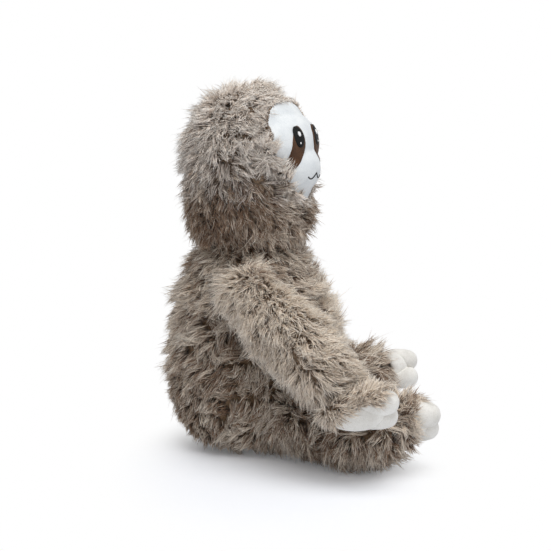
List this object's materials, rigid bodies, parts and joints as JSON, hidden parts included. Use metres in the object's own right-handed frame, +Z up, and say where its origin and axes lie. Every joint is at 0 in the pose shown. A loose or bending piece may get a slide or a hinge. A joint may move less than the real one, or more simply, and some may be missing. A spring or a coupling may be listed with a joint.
{
  "type": "plush sloth",
  "caption": "Sitting long-pile plush sloth with a white face, brown eye patches and soft white claws.",
  "frame": {"origin": "on the floor, in the middle of the torso's flat seat", "axes": "+Z up, the sloth's body looks along -Y, its right side is -X"},
  "size_m": [0.2636, 0.2136, 0.296],
  "materials": {
    "fur": "matte",
    "limb_fur": "matte",
    "filling": "matte",
    "pellets": "matte",
    "minky": "matte",
    "patch_brown": "matte",
    "black_thread": "satin",
    "white_thread": "satin",
    "seam_thread": "matte"
  },
  "bodies": {
    "torso": {"torso_cover": "fur", "torso_stuffing": "filling", "seat_pellet_bag": "pellets"},
    "neck": {"neck_seam_thread": "seam_thread"},
    "head": {"head_cover": "fur", "head_stuffing": "filling", "face_panel": "minky", "mouth_stitch": "black_thread", "right_eye_patch": "patch_brown", "right_eye": "black_thread", "right_eye_glint": "white_thread", "right_eye_small_glint": "white_thread", "left_eye_patch": "patch_brown", "left_eye": "black_thread", "left_eye_glint": "white_thread", "left_eye_small_glint": "white_thread"},
    "right_arm": {"right_arm_cover": "limb_fur", "right_arm_stuffing": "filling", "right_hand_mitt": "minky", "right_hand_upper_claw": "minky", "right_hand_lower_claw": "minky"},
    "right_leg": {"right_leg_cover": "limb_fur", "right_leg_stuffing": "filling", "right_foot_mitt": "minky", "right_foot_upper_claw": "minky", "right_foot_lower_claw": "minky"},
    "left_arm": {"left_arm_cover": "limb_fur", "left_arm_stuffing": "filling", "left_hand_mitt": "minky", "left_hand_upper_claw": "minky", "left_hand_lower_claw": "minky"},
    "left_leg": {"left_leg_cover": "limb_fur", "left_leg_stuffing": "filling", "left_foot_mitt": "minky", "left_foot_upper_claw": "minky", "left_foot_lower_claw": "minky"}
  },
  "joints": [
    {"name": "neck_turn", "type": "hinge", "parent": "torso", "child": "neck", "pos_m": [0, 0, 0.138], "axis": [0, 0, 1], "range_deg": [-20, 60]},
    {"name": "neck_nod", "type": "hinge", "parent": "neck", "child": "head", "pos_m": [0, 0, 0.138], "axis": [0.866, -0.5, 0], "range_deg": [-10, 10]},
    {"name": "right_arm_raise", "type": "hinge", "parent": "torso", "child": "right_arm", "pos_m": [-0.057, -0.001, 0.133], "axis": [-1, 0, 0], "range_deg": [0, 110]},
    {"name": "right_leg_swing", "type": "hinge", "parent": "torso", "child": "right_leg", "pos_m": [-0.047, -0.04, 0.032], "axis": [-1, 0, 0], "range_deg": [-20, 0]},
    {"name": "left_arm_raise", "type": "hinge", "parent": "torso", "child": "left_arm", "pos_m": [0.057, -0.001, 0.133], "axis": [-1, 0, 0], "range_deg": [0, 110]},
    {"name": "left_leg_swing", "type": "hinge", "parent": "torso", "child": "left_leg", "pos_m": [0.047, -0.04, 0.032], "axis": [-1, 0, 0], "range_deg": [-20, 0]}
  ]
}
